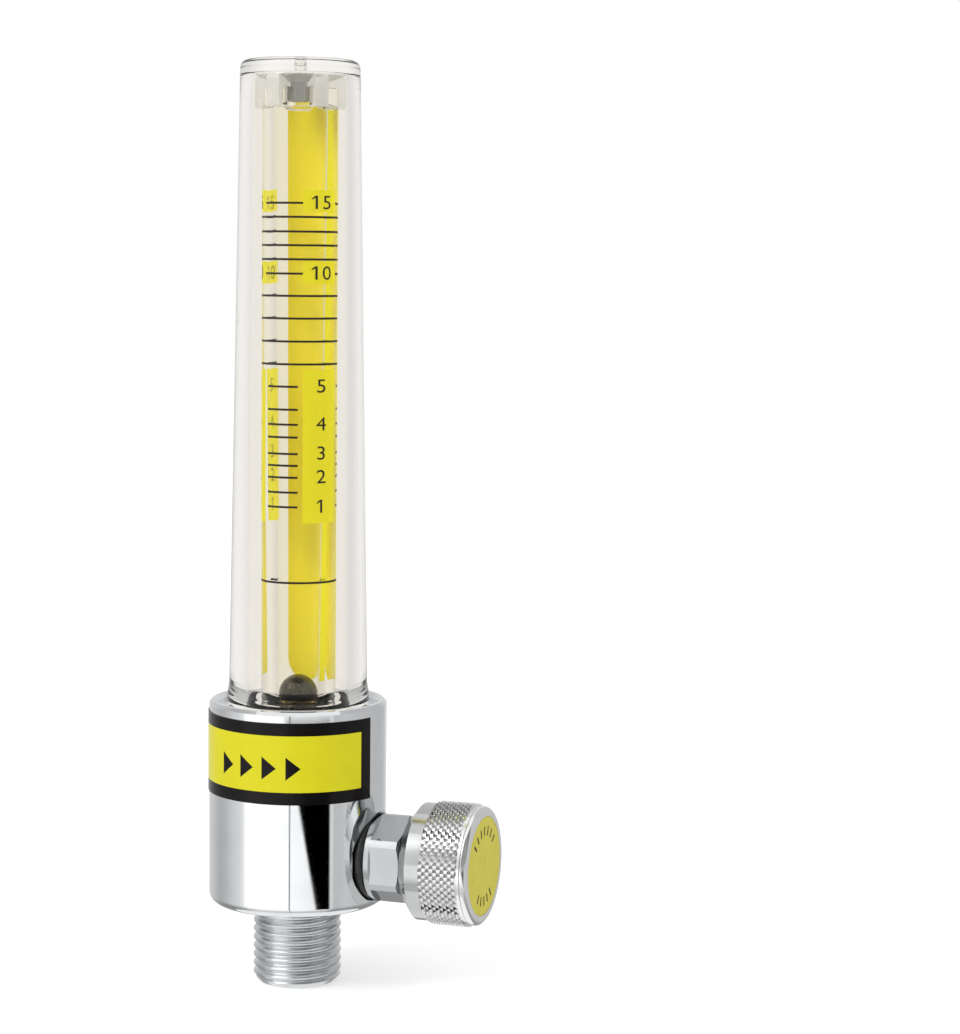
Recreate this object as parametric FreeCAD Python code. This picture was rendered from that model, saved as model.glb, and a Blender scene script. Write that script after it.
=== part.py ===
import FreeCAD, Part
import math
import os

# Medical air flowmeter, in millimetres. The origin is the centre of the outlet's end face.
# +Z runs up the tube, -Y is the front with the scale, +X is the control valve, +Y is the inlet.

# Outlet nipple, male 9/16-18 thread, modelled at its major diameter
outlet_thread_diameter = 14.29
outlet_length = 13.4
outlet_end_chamfer = 1.1
outlet_socket_diameter = 8.2
outlet_socket_depth = 6.0
outlet_bore_diameter = 6.0

# Valve body
body_diameter = 28.7
body_height = 33.0
body_foot_radius = 1.5
rim_chamfer = 0.5
rim_recess_diameter = 25.2
rim_recess_depth = 1.0
rim_lip_width = 0.55

# Inlet at the back, female 1/8-27 pipe thread, modelled at its tapping diameter
inlet_above_foot = 17.2
inlet_boss_diameter = 16.0
inlet_boss_reach = 2.5
inlet_boss_root = 2.0
inlet_thread_diameter = 8.7
inlet_thread_depth = 8.5
inlet_mouth_chamfer = 0.7
filter_diameter = 6.4
filter_length = 2.4
passage_diameter = 3.4
gallery_diameter = 2.3

# Clear cover
cover_top_height = 148.5
cover_top_diameter = 18.86
cover_neck_diameter = 22.3
cover_foot_diameter = 22.9
cover_foot_height = 2.1
cover_foot_flare = 1.5
cover_foot_radius = 1.1
cover_top_radius = 1.3
cover_top_wall = 2.2
cover_bore_low_diameter = 16.8
cover_bore_high_diameter = 15.7
cover_bore_step = 1.2
cover_spigot_diameter = 21.2
cover_spigot_length = 5.8
cover_spigot_room = 0.5
cover_ring_section = 1.1
cover_ring_lift = 1.2
gate_mark_diameter = 1.5
gate_mark_depth = 1.3

# Flow tube with its tapered bore
tube_diameter = 12.0
tube_bore_low = 6.6
tube_bore_high = 8.6
tube_socket_depth = 3.8
tube_gasket_thickness = 0.8
holder_wall = 0.9
holder_below_rim = 0.2

# Float and its nozzle
ball_diameter = 6.35
ball_above_rim = 1.2
nozzle_bore = 3.0
nozzle_seat_diameter = 4.4

# Stop cage and stop plug at the top of the tube
cage_wall = 1.15
cage_skirt = 3.3
cage_cap = 2.0
cage_corner_radius = 1.0
port_count = 6
port_outer_width = 5.6
port_inner_width = 3.6
port_lift = 0.9
port_turn = 22.6
plug_diameter = 7.0
plug_length = 3.3
plug_recess = 0.8
plug_neck_diameter = 2.4
plug_edge_radius = 0.4

# Yellow backing strip and front label
scale_turn = -4.0
strip_half_angle = 50.0
strip_thickness = 0.25
strip_foot_gap = 3.0
strip_corner_radius = 3.5
label_height = 13.0
label_below_rim = 1.65
label_half_angle = 79.0
label_thickness = 0.15

# Needle valve, whose axis runs along +X
valve_above_foot = 8.0
orifice_diameter = 2.4
seat_face_reach = 5.5
chamber_diameter = 7.2
chamber_length = 3.0
bonnet_thread_diameter = 11.0
bonnet_foot_room = 0.4
bonnet_relief_depth = 0.15
bonnet_relief_length = 0.6
spot_face_diameter = 15.0
spot_face_depth = 1.95
bonnet_ring_section = 1.7
bonnet_collar_diameter = 14.0
bonnet_collar_length = 0.8
hex_across_flats = 12.85
hex_turned_diameter = 14.2
hex_length = 4.9
hex_end_chamfer = 0.35
hex_end_drop = 0.6
stem_thread_diameter = 6.0
stem_diameter = 5.0
stem_ring_section = 1.5
stem_guide_length = 2.6
stem_chamfer = 0.4
valve_travel = 1.5
needle_flange_diameter = 4.4
needle_flange_length = 1.8
needle_nose_length = 2.0
needle_tip_diameter = 0.8
needle_pin_diameter = 1.8
needle_pin_length = 2.2

# Knob
knob_back_gap = 0.35
knob_back_diameter = 14.5
knob_cone_length = 1.75
knob_ring_diameter = 18.8
knob_ring_length = 2.4
knurl_diameter = 19.84
knurl_depth = 0.46
knurl_length = 6.1
knurl_columns = 54
knurl_rows = 5
knob_groove_length = 0.75
knob_groove_width = 0.1
knob_groove_depth = 0.25
knob_nose_length = 0.95
knob_nose_radius = 0.8
knob_nose_step = 0.1
knob_disc_diameter = 15.74
knob_disc_thickness = 0.6
stem_drive_diameter = 4.4
stem_drive_flats = 3.4
stem_drive_length = 6.4
stem_drive_inset = 0.9
screw_diameter = 2.9
screw_length = 5.0
screw_head_diameter = 5.6
screw_head_height = 1.9
screw_head_radius = 0.5
screw_head_room = 0.4
screw_slot_width = 0.6
screw_slot_depth = 0.95

# Clearances between pieces
slip = 0.05
loose = 0.1
seat_gap = 0.05

# How far a cutter runs past the face that it opens
through = 1.0

origin = FreeCAD.Vector(0, 0, 0)
along_x = FreeCAD.Vector(1, 0, 0)
along_y = FreeCAD.Vector(0, 1, 0)
along_z = FreeCAD.Vector(0, 0, 1)

# Heights worked out from the sizes above
foot_z = outlet_length
rim_z = foot_z + body_height
recess_z = rim_z - rim_recess_depth
body_radius = body_diameter / 2
inlet_z = foot_z + inlet_above_foot
valve_z = foot_z + valve_above_foot
holder_top_z = rim_z - holder_below_rim
tube_floor_z = holder_top_z - tube_socket_depth
tube_foot_z = tube_floor_z + tube_gasket_thickness
spigot_foot_z = recess_z - cover_spigot_length
socket_floor_z = spigot_foot_z - cover_spigot_room
ceiling_z = cover_top_height - cover_top_wall
cage_top_z = ceiling_z - loose
tube_top_z = cage_top_z - cage_cap
cage_foot_z = tube_top_z - cage_skirt
tube_radius = tube_diameter / 2
cage_radius = tube_radius + loose + cage_wall
holder_radius = tube_radius + loose + holder_wall
socket_radius = cover_spigot_diameter / 2 + loose
ball_z = rim_z + ball_above_rim

# Places along the valve axis
spot_x = body_radius - spot_face_depth
collar_x = spot_x + bonnet_ring_section
hex_x = collar_x + bonnet_collar_length
bonnet_end_x = hex_x + hex_length
chamber_end_x = seat_face_reach + chamber_length
bonnet_foot_x = chamber_end_x + bonnet_foot_room
guide_x = bonnet_end_x - stem_guide_length
gland_x = guide_x - stem_ring_section - 2 * loose
needle_back_x = seat_face_reach + seat_gap + needle_flange_length
stem_foot_x = needle_back_x + loose
stem_thread_end_x = gland_x - valve_travel - 2 * loose
knob_back_x = bonnet_end_x + knob_back_gap
knob_ring_x = knob_back_x + knob_cone_length
knurl_x = knob_ring_x + knob_ring_length
knurl_end_x = knurl_x + knurl_length
groove_end_x = knurl_end_x + knob_groove_length
knob_end_x = groove_end_x + knob_nose_length
disc_x = knob_end_x - knob_disc_thickness
drive_x = knob_back_x + stem_drive_inset
drive_end_x = drive_x + stem_drive_length
screw_seat_x = drive_end_x + slip


def outline(corners):
    # A flat face in the XZ plane through (x, z) corners; a third value rounds its corner.
    flat = [FreeCAD.Vector(corner[0], 0, corner[1]) for corner in corners]
    stretches = []
    for index, corner in enumerate(corners):
        here = flat[index]
        radius = corner[2] if len(corner) > 2 else 0
        if radius == 0:
            stretches.append((here, None, here))
            continue
        back = (flat[index - 1] - here).normalize()
        ahead = (flat[(index + 1) % len(flat)] - here).normalize()
        half = back.getAngle(ahead) / 2
        reach = radius / math.tan(half)
        inward = (back + ahead).normalize()
        middle = here + inward * (radius / math.sin(half) - radius)
        stretches.append((here + back * reach, middle, here + ahead * reach))
    edges = []
    for index, (start, middle, finish) in enumerate(stretches):
        following = stretches[(index + 1) % len(stretches)][0]
        if middle is not None:
            edges.append(Part.Arc(start, middle, finish).toShape())
        if finish.distanceToPoint(following) > 1e-6:
            edges.append(Part.makeLine(finish, following))
    return Part.Face(Part.Wire(edges))


def turned_up(corners):
    # Turned about the tube's axis, from (radius, height) corners.
    return outline(corners).revolve(origin, along_z, 360)


def turned_out(corners):
    # Turned about the valve's axis, from (x, radius) corners.
    shape = outline(corners).revolve(origin, along_x, 360)
    shape.translate(FreeCAD.Vector(0, 0, valve_z))
    return shape


def rod_up(radius, low, high):
    return Part.makeCylinder(radius, high - low, FreeCAD.Vector(0, 0, low), along_z)


def rod_out(radius, start, finish):
    return Part.makeCylinder(radius, finish - start, FreeCAD.Vector(start, 0, valve_z), along_x)


def rod_back(radius, start, finish):
    return Part.makeCylinder(radius, finish - start, FreeCAD.Vector(0, start, inlet_z), along_y)


def curved_sheet(inner, thickness, low, high, half_angle, centre_angle):
    # A bent sheet about the tube's axis; the angle is measured from the front towards +X.
    sheet = Part.makeCylinder(inner + thickness, high - low, origin, along_z, 2 * half_angle)
    sheet = sheet.cut(rod_up(inner, -through, high - low + through))
    sheet.translate(FreeCAD.Vector(0, 0, low))
    sheet.rotate(origin, along_z, centre_angle - 90 - half_angle)
    return sheet


def valve_body():
    thread_radius = outlet_thread_diameter / 2
    rim_radius = rim_recess_diameter / 2
    shape = turned_up([
        (0, 0),
        (thread_radius - outlet_end_chamfer, 0),
        (thread_radius, outlet_end_chamfer),
        (thread_radius, foot_z),
        (body_radius, foot_z, body_foot_radius),
        (body_radius, rim_z - rim_chamfer),
        (body_radius - rim_chamfer, rim_z),
        (rim_radius + rim_lip_width, rim_z),
        (rim_radius, rim_z - rim_lip_width),
        (rim_radius, recess_z),
        (0, recess_z)])
    shape = shape.fuse(rod_up(holder_radius, recess_z - through, holder_top_z))
    boss_face = body_radius + inlet_boss_reach
    boss = rod_back(inlet_boss_diameter / 2, 0, boss_face)
    boss = boss.cut(rod_up(body_radius - inlet_boss_root, 0, rim_z))
    shape = shape.fuse(boss)

    # Socket for the cover, around the holder of the flow tube
    socket = rod_up(socket_radius, socket_floor_z, recess_z + through)
    socket = socket.cut(rod_up(holder_radius, socket_floor_z - through, rim_z))
    shape = shape.cut(socket)
    shape = shape.cut(rod_up(tube_radius + loose, tube_floor_z, rim_z))

    # Gas comes in at the back, turns up at the axis and leaves through the nozzle
    thread_floor = boss_face - inlet_thread_depth
    pocket_floor = thread_floor - filter_length - 2 * loose
    thread_bore = inlet_thread_diameter / 2
    mouth = Part.makeCone(thread_bore, thread_bore + inlet_mouth_chamfer, inlet_mouth_chamfer,
                          FreeCAD.Vector(0, boss_face - inlet_mouth_chamfer, inlet_z), along_y)
    shape = shape.cut(rod_back(thread_bore, thread_floor, boss_face + through)).cut(mouth)
    shape = shape.cut(rod_back(filter_diameter / 2 + slip, pocket_floor, thread_floor + through))
    passage = passage_diameter / 2
    shape = shape.cut(rod_back(passage, -passage - loose, pocket_floor + through))
    shape = shape.cut(rod_up(passage - loose, inlet_z, tube_floor_z + through))

    # It comes down outside the flow tube and crosses to the valve chamber
    chamber_radius = chamber_diameter / 2
    gallery_top = FreeCAD.Vector((holder_radius + socket_radius) / 2, 0, spigot_foot_z)
    gallery_foot = FreeCAD.Vector(seat_face_reach + chamber_length / 2, 0, valve_z + chamber_radius / 2)
    run = gallery_foot - gallery_top
    shape = shape.cut(Part.makeCylinder(gallery_diameter / 2, run.Length, gallery_top, run))
    shape = shape.cut(rod_out(chamber_radius, seat_face_reach, chamber_end_x + through))
    shape = shape.cut(rod_out(bonnet_thread_diameter / 2, chamber_end_x, body_radius + through))
    shape = shape.cut(rod_out(spot_face_diameter / 2, spot_x, body_radius + through))
    shape = shape.cut(rod_out(orifice_diameter / 2, 0, seat_face_reach + through))

    # Outlet bore with its conical seat and the socket for the hose nipple
    bore = outlet_bore_diameter / 2
    mouth_radius = outlet_socket_diameter / 2
    shape = shape.cut(turned_up([
        (0, -through),
        (mouth_radius, -through),
        (mouth_radius, outlet_socket_depth),
        (bore, outlet_socket_depth + mouth_radius - bore),
        (bore, valve_z + orifice_diameter),
        (0, valve_z + orifice_diameter + bore / 2)]))
    return shape.removeSplitter()


def inlet_filter():
    floor = body_radius + inlet_boss_reach - inlet_thread_depth - filter_length - 2 * loose
    return rod_back(filter_diameter / 2, floor, floor + filter_length)


def cover_ring_height():
    return spigot_foot_z + cover_ring_lift + cover_ring_section / 2


def cover_tube():
    spigot = cover_spigot_diameter / 2
    groove_floor = spigot + loose - cover_ring_section
    groove_low = cover_ring_height() - cover_ring_section / 2 - loose
    groove_high = cover_ring_height() + cover_ring_section / 2 + loose
    foot_top_z = recess_z + cover_foot_height
    low_bore = cover_bore_low_diameter / 2
    high_bore = cover_bore_high_diameter / 2
    shape = turned_up([
        (low_bore, spigot_foot_z),
        (spigot, spigot_foot_z),
        (spigot, groove_low),
        (groove_floor, groove_low),
        (groove_floor, groove_high),
        (spigot, groove_high),
        (spigot, recess_z),
        (cover_foot_diameter / 2, recess_z, cover_foot_radius),
        (cover_foot_diameter / 2, foot_top_z),
        (cover_neck_diameter / 2, foot_top_z + cover_foot_flare),
        (cover_top_diameter / 2, cover_top_height, cover_top_radius),
        (0, cover_top_height),
        (0, ceiling_z + gate_mark_depth),
        (gate_mark_diameter / 2, ceiling_z + gate_mark_depth),
        (gate_mark_diameter / 2, ceiling_z),
        (cage_radius + loose, ceiling_z),
        (cage_radius + loose, cage_foot_z + cover_bore_step),
        (high_bore, cage_foot_z)])
    return shape


def rubber_ring(centre_radius, section, direction, centre):
    return Part.makeTorus(centre_radius, section / 2, centre, direction)


def cover_o_ring():
    centre = cover_spigot_diameter / 2 + loose - cover_ring_section / 2
    return rubber_ring(centre, cover_ring_section, along_z, FreeCAD.Vector(0, 0, cover_ring_height()))


def tapered_port(inner_radius, outer_radius):
    # A square funnel that widens outwards along -Y, centred on the height of the ports.
    wall_in = tube_bore_high / 2
    wall_out = cage_radius
    spread = (port_outer_width - port_inner_width) / (wall_out - wall_in)
    middle_z = tube_top_z - cage_skirt / 2 + port_lift
    wires = []
    for radius in (inner_radius, outer_radius):
        half = (port_inner_width + spread * (radius - wall_in)) / 2
        corners = [(-half, -half), (half, -half), (half, half), (-half, half), (-half, -half)]
        wires.append(Part.makePolygon([FreeCAD.Vector(x, -radius, middle_z + z) for x, z in corners]))
    return Part.makeLoft(wires, True, True)


def with_ports(shape, inner_radius, outer_radius):
    for index in range(port_count):
        port = tapered_port(inner_radius, outer_radius)
        port.rotate(origin, along_z, scale_turn + port_turn + index * 360 / port_count)
        shape = shape.cut(port)
    return shape


def flow_tube():
    shape = turned_up([
        (tube_bore_low / 2, tube_foot_z),
        (tube_radius, tube_foot_z),
        (tube_radius, tube_top_z),
        (tube_bore_high / 2, tube_top_z),
        (tube_bore_low / 2, ball_z)])
    return with_ports(shape, tube_bore_high / 2 - through, tube_radius + through)


def stop_cage():
    recess_top_z = tube_top_z + plug_recess
    shape = turned_up([
        (tube_radius + loose, cage_foot_z),
        (cage_radius, cage_foot_z),
        (cage_radius, cage_top_z, cage_corner_radius),
        (plug_neck_diameter / 2, cage_top_z),
        (plug_neck_diameter / 2, recess_top_z),
        (plug_diameter / 2 + slip, recess_top_z),
        (plug_diameter / 2 + slip, tube_top_z),
        (tube_radius + loose, tube_top_z)])
    return with_ports(shape, tube_radius - through, cage_radius + through)


def plug_foot_height():
    return tube_top_z + plug_recess - plug_length


def float_stop():
    top_z = tube_top_z + plug_recess
    return turned_up([
        (0, plug_foot_height()),
        (plug_diameter / 2, plug_foot_height(), plug_edge_radius),
        (plug_diameter / 2, top_z),
        (plug_neck_diameter / 2, top_z),
        (plug_neck_diameter / 2, cage_top_z),
        (0, cage_top_z)])


def tube_gasket():
    hole = rod_up(tube_bore_low / 2, tube_floor_z - through, tube_foot_z + through)
    return rod_up(tube_radius, tube_floor_z, tube_foot_z).cut(hole)


def ball_seat():
    # A nozzle that stands in the foot of the tube; the ball rests on its inner edge.
    ball_radius = ball_diameter / 2
    seat_radius = nozzle_seat_diameter / 2
    top_z = ball_z - math.sqrt(ball_radius ** 2 - seat_radius ** 2) - seat_gap
    outer = tube_bore_low / 2 - loose
    bore = nozzle_bore / 2
    return turned_up([
        (bore, tube_floor_z),
        (outer, tube_floor_z),
        (outer, top_z),
        (seat_radius, top_z),
        (bore, top_z - (seat_radius - bore))])


def float_ball():
    return Part.makeSphere(ball_diameter / 2, FreeCAD.Vector(0, 0, ball_z))


def scale_strip():
    # A bent backing strip behind the bore, with a rounded foot.
    inner = tube_radius + slip / 2
    outer = inner + strip_thickness
    low = rim_z + strip_foot_gap
    high = cage_foot_z - loose
    half_width = outer * math.sin(math.radians(strip_half_angle))
    band = outline([
        (-half_width, high),
        (-half_width, low, strip_corner_radius),
        (half_width, low, strip_corner_radius),
        (half_width, high)]).extrude(along_y * (outer + through))
    shell = rod_up(outer, low, high).cut(rod_up(inner, low - through, high + through))
    strip = shell.common(band)
    strip.rotate(origin, along_z, scale_turn)
    return strip


def label_band():
    high = rim_z - label_below_rim
    return curved_sheet(body_radius, label_thickness, high - label_height, high, label_half_angle, scale_turn)


def bonnet():
    shank = bonnet_thread_diameter / 2 - slip
    neck = shank - bonnet_relief_depth
    turned_radius = hex_turned_diameter / 2
    thread_bore = stem_thread_diameter / 2
    guide = stem_diameter / 2 + slip
    gland = stem_diameter / 2 + stem_ring_section
    barrel = turned_out([
        (bonnet_foot_x, thread_bore),
        (bonnet_foot_x, shank),
        (spot_x - bonnet_relief_length, shank),
        (spot_x - bonnet_relief_length, neck),
        (collar_x, neck),
        (collar_x, bonnet_collar_diameter / 2),
        (hex_x, bonnet_collar_diameter / 2),
        (hex_x, gland),
        (gland_x, thread_bore)])
    blank = Part.makePolygon([
        FreeCAD.Vector(hex_x, hex_across_flats / math.sqrt(3) * math.cos(math.radians(60 * corner + 30)),
                       valve_z + hex_across_flats / math.sqrt(3) * math.sin(math.radians(60 * corner + 30)))
        for corner in range(7)])
    hexagon = Part.Face(blank).extrude(along_x * hex_length)
    turned = turned_out([
        (hex_x, 0),
        (hex_x, turned_radius),
        (bonnet_end_x - hex_end_chamfer, turned_radius),
        (bonnet_end_x, turned_radius - hex_end_drop),
        (bonnet_end_x, 0)])
    shape = barrel.fuse(hexagon.common(turned))
    shape = shape.cut(rod_out(thread_bore, bonnet_foot_x - through, gland_x))
    shape = shape.cut(rod_out(gland, gland_x, guide_x))
    shape = shape.cut(rod_out(guide, guide_x - through, bonnet_end_x + through))
    return shape.removeSplitter()


def bonnet_ring():
    outer = bonnet_collar_diameter / 2 + loose
    centre = FreeCAD.Vector(spot_x + bonnet_ring_section / 2, 0, valve_z)
    return rubber_ring(outer - bonnet_ring_section / 2, bonnet_ring_section, along_x, centre)


def stem_o_ring():
    centre = FreeCAD.Vector((gland_x + guide_x) / 2, 0, valve_z)
    return rubber_ring((stem_diameter + stem_ring_section) / 2, stem_ring_section, along_x, centre)


def needle():
    # The needle swivels in the foot of the stem, so it slides without turning.
    face_x = seat_face_reach + seat_gap
    nose_radius = orifice_diameter / 2 - loose
    flange = needle_flange_diameter / 2
    pin = needle_pin_diameter / 2
    return turned_out([
        (face_x - needle_nose_length, 0),
        (face_x - needle_nose_length, needle_tip_diameter / 2),
        (face_x, nose_radius),
        (face_x, flange),
        (needle_back_x, flange),
        (needle_back_x, pin),
        (needle_back_x + needle_pin_length, pin),
        (needle_back_x + needle_pin_length, 0)])


def drive_section(clearance, start, finish):
    # The stem's end has two flats that turn with the knob.
    radius = stem_drive_diameter / 2 + clearance
    flats = stem_drive_flats + 2 * clearance
    block = Part.makeBox(finish - start, 2 * radius, flats,
                         FreeCAD.Vector(start, -radius, valve_z - flats / 2))
    return rod_out(radius, start, finish).common(block)


def valve_stem():
    thread = stem_thread_diameter / 2 - slip
    pin_bore = needle_pin_diameter / 2 + slip
    pin_floor_x = needle_back_x + needle_pin_length + loose
    shape = turned_out([
        (stem_foot_x, 0),
        (stem_foot_x, thread - stem_chamfer),
        (stem_foot_x + stem_chamfer, thread),
        (stem_thread_end_x, thread),
        (stem_thread_end_x, stem_diameter / 2),
        (drive_x, stem_diameter / 2),
        (drive_x, 0)])
    shape = shape.fuse(drive_section(0, drive_x, drive_end_x))
    shape = shape.cut(rod_out(pin_bore, stem_foot_x - through, pin_floor_x))
    screw_floor_x = screw_seat_x - screw_length - loose
    shape = shape.cut(rod_out(screw_diameter / 2 + slip / 2, screw_floor_x, drive_end_x + through))
    return shape.removeSplitter()


def knob_screw():
    head = screw_head_diameter / 2
    head_x = screw_seat_x + screw_head_height
    shape = rod_out(screw_diameter / 2, screw_seat_x - screw_length, screw_seat_x)
    shape = shape.fuse(turned_out([
        (screw_seat_x, 0),
        (screw_seat_x, head),
        (head_x, head, screw_head_radius),
        (head_x, 0)]))
    slot_corner = FreeCAD.Vector(head_x - screw_slot_depth, -head - through, valve_z - screw_slot_width / 2)
    slot = Part.makeBox(screw_slot_depth + through, 2 * (head + through), screw_slot_width, slot_corner)
    return shape.cut(slot).removeSplitter()


def knurl_point(row, column, radius):
    angle = math.pi * column / knurl_columns
    return FreeCAD.Vector(knurl_x + row * knurl_length / (2 * knurl_rows),
                          radius * math.cos(angle), valve_z + radius * math.sin(angle))


def knurl_faces():
    # Diamonds cut by two sets of crossing grooves. Each stands up as a four-sided point.
    # A row and column that add up to an odd number is the top of a point, an even one a crossing.
    top = knurl_diameter / 2
    bottom = top - knurl_depth
    last_row = 2 * knurl_rows
    grid = [[knurl_point(row, column, top if (row + column) % 2 else bottom)
             for column in range(2 * knurl_columns)] for row in range(last_row + 1)]
    faces = []
    for row in range(last_row + 1):
        for column in range(2 * knurl_columns):
            if (row + column) % 2 == 0:
                continue
            around = [grid[row][column - 1], grid[row][(column + 1) % (2 * knurl_columns)]]
            for beside in (row - 1, row + 1):
                if beside < 0 or beside > last_row:
                    continue
                for neighbour in around:
                    corners = [grid[row][column], neighbour, grid[beside][column], grid[row][column]]
                    faces.append(Part.Face(Part.makePolygon(corners)))
    ends = [Part.makePolygon(grid[row] + grid[row][:1]) for row in (0, last_row)]
    return faces, ends


def knob():
    ring = knob_ring_diameter / 2
    disc = knob_disc_diameter / 2 + slip
    head = screw_head_diameter / 2 + screw_head_room
    nose = ring + knob_nose_step
    groove = ring - knob_groove_depth
    core = turned_out([
        (knob_back_x, stem_drive_diameter / 2 + slip),
        (knob_back_x, knob_back_diameter / 2),
        (knob_ring_x, ring),
        (knurl_x, ring),
        (knurl_end_x, ring),
        (groove_end_x - 2 * knob_groove_width, ring),
        (groove_end_x - knob_groove_width, groove),
        (groove_end_x, groove),
        (groove_end_x, nose),
        (knob_end_x, nose, knob_nose_radius),
        (knob_end_x, disc),
        (disc_x, disc),
        (disc_x, head),
        (screw_seat_x, head),
        (screw_seat_x, stem_drive_diameter / 2 + slip)])
    bore_fill = rod_out(stem_drive_diameter / 2 + 2 * slip, drive_x, screw_seat_x)
    core = core.fuse(bore_fill).cut(drive_section(slip, drive_x - through, screw_seat_x + through))
    core = core.cut(rod_out(stem_diameter / 2 + slip, knob_back_x - through, drive_x))

    # The plain band under the knurl gives way to the diamonds and their two end faces
    diamonds, ends = knurl_faces()
    skin = []
    for face in core.Faces:
        box = face.BoundBox
        under_knurl = abs(box.XMin - knurl_x) < 1e-4 and abs(box.XMax - knurl_end_x) < 1e-4
        if under_knurl and box.ZMax > valve_z + ring - slip:
            circles = [edge for edge in face.Edges if edge.BoundBox.XLength < 1e-4]
            continue
        skin.append(face)
    for star, place in zip(ends, (knurl_x, knurl_end_x)):
        circle = [edge for edge in circles if abs(edge.BoundBox.XMin - place) < 1e-4]
        skin.append(Part.Face([star, Part.Wire(circle)]))
    shell = Part.makeShell(skin + diamonds)
    shell.sewShape()
    shape = Part.makeSolid(Part.Shell(shell.Faces))
    shape.fix(1e-5, 1e-6, 1e-4)
    return shape


def knob_disc():
    return rod_out(knob_disc_diameter / 2, disc_x, knob_end_x)


pieces = {
    "valve_body": valve_body,
    "inlet_filter": inlet_filter,
    "label_band": label_band,
    "cover_tube": cover_tube,
    "cover_o_ring": cover_o_ring,
    "flow_tube": flow_tube,
    "tube_gasket": tube_gasket,
    "ball_seat": ball_seat,
    "float_ball": float_ball,
    "scale_strip": scale_strip,
    "stop_cage": stop_cage,
    "float_stop": float_stop,
    "bonnet": bonnet,
    "bonnet_o_ring": bonnet_ring,
    "stem_o_ring": stem_o_ring,
    "needle": needle,
    "valve_stem": valve_stem,
    "knob": knob,
    "knob_screw": knob_screw,
    "knob_disc": knob_disc,
}

os.makedirs("parts", exist_ok=True)
for name, make in pieces.items():
    shape = make()
    shape.exportStep("parts/" + name + ".step")
    box = shape.BoundBox
    print(name, "solids", len(shape.Solids), "valid", shape.isValid(), "volume", round(shape.Volume, 2))
    print("  x", round(box.XMin, 2), round(box.XMax, 2), "y", round(box.YMin, 2), round(box.YMax, 2),
          "z", round(box.ZMin, 2), round(box.ZMax, 2))
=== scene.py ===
import math
import bmesh
import bpy
from mathutils import Matrix, Vector


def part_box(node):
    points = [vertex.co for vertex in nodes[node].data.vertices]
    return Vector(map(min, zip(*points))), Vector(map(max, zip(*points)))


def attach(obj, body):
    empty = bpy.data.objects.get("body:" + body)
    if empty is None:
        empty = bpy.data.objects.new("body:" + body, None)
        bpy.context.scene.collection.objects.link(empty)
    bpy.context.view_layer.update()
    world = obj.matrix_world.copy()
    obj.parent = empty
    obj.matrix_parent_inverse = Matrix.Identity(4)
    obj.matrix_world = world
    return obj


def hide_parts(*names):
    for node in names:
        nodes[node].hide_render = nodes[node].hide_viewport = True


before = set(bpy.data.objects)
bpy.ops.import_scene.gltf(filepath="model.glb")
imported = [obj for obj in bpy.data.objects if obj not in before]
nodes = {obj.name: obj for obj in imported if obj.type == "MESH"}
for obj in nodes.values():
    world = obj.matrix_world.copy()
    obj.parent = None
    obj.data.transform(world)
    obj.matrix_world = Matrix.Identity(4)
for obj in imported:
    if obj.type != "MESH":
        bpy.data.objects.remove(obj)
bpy.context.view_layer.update()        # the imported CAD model, fixed in place
scene = bpy.context.scene
mm = 0.001               # sizes below are written in millimetres


# Sizes read from the CAD pieces, in millimetres
def boxOf(node):
    low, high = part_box(node)
    return [value / mm for value in low], [value / mm for value in high]


coverLow, coverHigh = boxOf("cover_tube")
tubeLow, tubeHigh = boxOf("flow_tube")
cageLow, cageHigh = boxOf("stop_cage")
knobLow, knobHigh = boxOf("knob")
discFace = boxOf("knob_disc")[1][0]
labelLow, labelHigh = boxOf("label_band")
valveHeight = (knobLow[2] + knobHigh[2]) / 2
tubeRadius = 6.0                                       # outside of the flow tube


# Small helpers for meshes and shader nodes
def newPiece(name, mesh, body):
    piece = bpy.data.objects.new(name, mesh)
    scene.collection.objects.link(piece)
    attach(piece, body)
    return piece


def meshFrom(name, points, faces, smooth=True):
    mesh = bpy.data.meshes.new(name)
    mesh.from_pydata([[value * mm for value in point] for point in points], [], faces)
    mesh.update()
    for polygon in mesh.polygons:
        polygon.use_smooth = smooth
    return mesh


def sharpen(mesh, degrees):
    # edges steeper than this angle stay crisp under smooth shading
    work = bmesh.new()
    work.from_mesh(mesh)
    for edge in work.edges:
        if len(edge.link_faces) == 2 and edge.calc_face_angle(0) > math.radians(degrees):
            edge.smooth = False
    work.to_mesh(mesh)
    work.free()


def faceOutward(mesh):
    work = bmesh.new()
    work.from_mesh(mesh)
    bmesh.ops.recalc_face_normals(work, faces=work.faces)
    work.to_mesh(mesh)
    work.free()


def roundedOutline(corners, steps):
    # (radius, height) corners; a third value rounds the corner with an arc
    flat = [Vector(corner[:2]) for corner in corners]
    points = []
    for index, corner in enumerate(corners):
        here = flat[index]
        if len(corner) < 3:
            points.append(tuple(here))
            continue
        back = (flat[index - 1] - here).normalized()
        ahead = (flat[(index + 1) % len(flat)] - here).normalized()
        half = back.angle(ahead) / 2
        start = here + back * corner[2] / math.tan(half)
        finish = here + ahead * corner[2] / math.tan(half)
        centre = here + (back + ahead).normalized() * corner[2] / math.sin(half)
        for step in range(steps + 1):
            spoke = (start - centre).lerp(finish - centre, step / steps).normalized()
            points.append(tuple(centre + spoke * corner[2]))
    return points


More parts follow.
